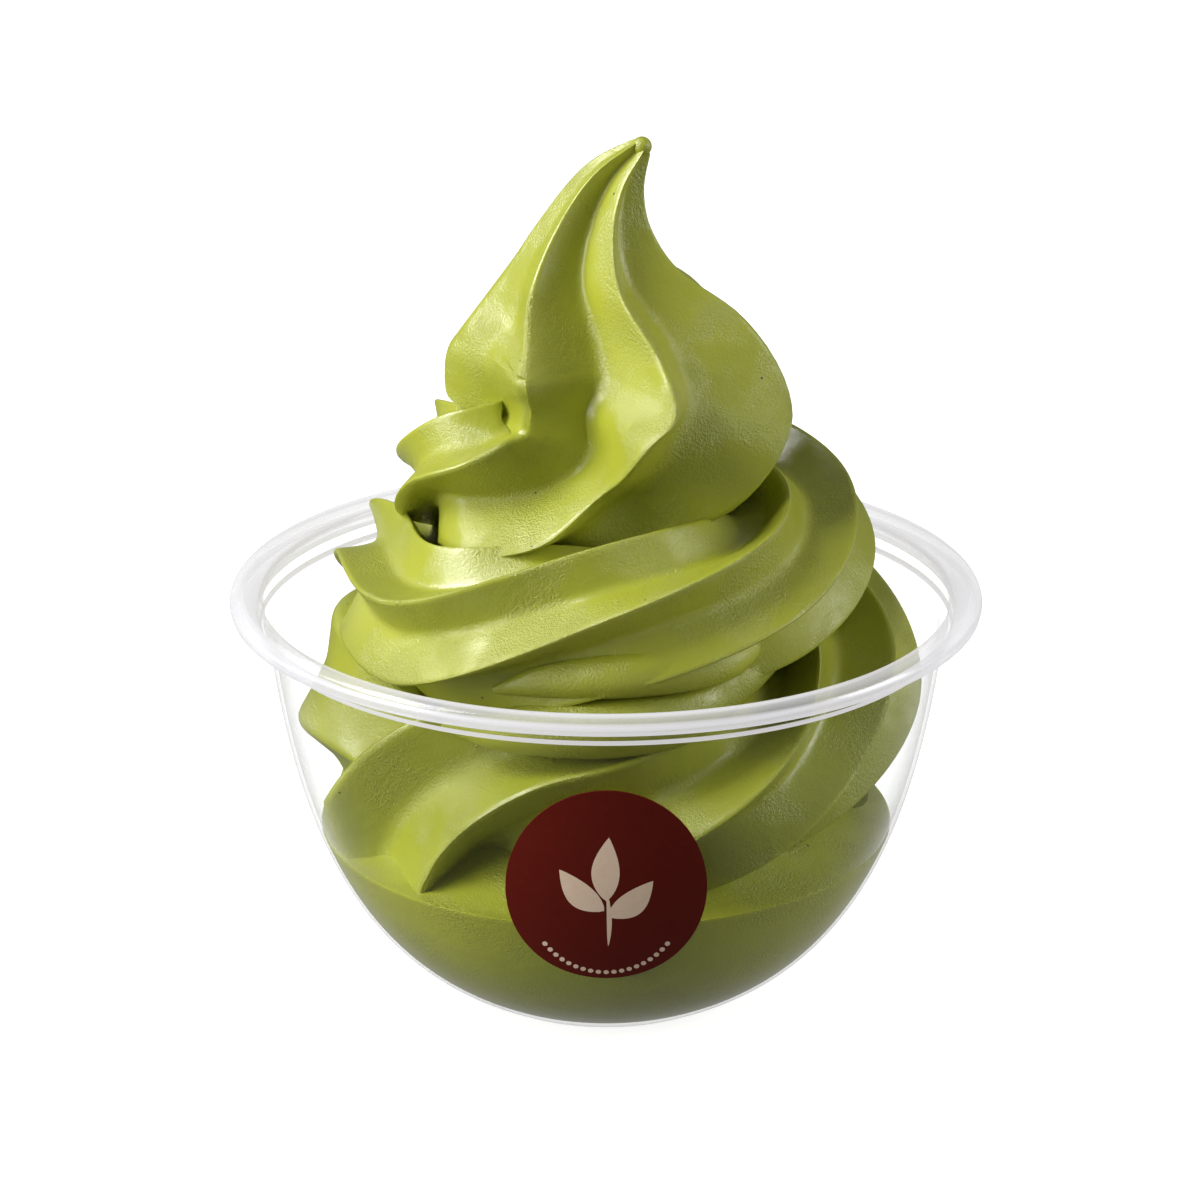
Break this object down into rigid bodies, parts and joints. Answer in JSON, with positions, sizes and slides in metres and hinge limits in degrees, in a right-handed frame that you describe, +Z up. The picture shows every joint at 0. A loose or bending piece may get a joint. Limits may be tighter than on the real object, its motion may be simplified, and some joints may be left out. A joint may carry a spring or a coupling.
{
  "type": "soft serve cup",
  "caption": "Green soft serve piped as a tall lobed swirl in a clear round bowl with a rolled rim and a plain maroon sticker on the front",
  "frame": {"origin": "centre of the flat base of the bowl, on the surface it stands on", "axes": "+X to the right seen from the sticker side, +Y to the back, +Z up; the sticker faces -Y"},
  "size_m": [0.117, 0.117, 0.1398],
  "materials": {
    "clear_plastic": "clear, glossy, thin blown plastic",
    "green_soft_serve": "smooth soft serve with a damp sheen and a fine frosty grain",
    "maroon_sticker": "satin printed paper, maroon with a pale cream motif"
  },
  "bodies": {
    "root": {"cup": "clear_plastic", "soft_serve": "green_soft_serve", "label": "maroon_sticker"}
  },
  "joints": []
}
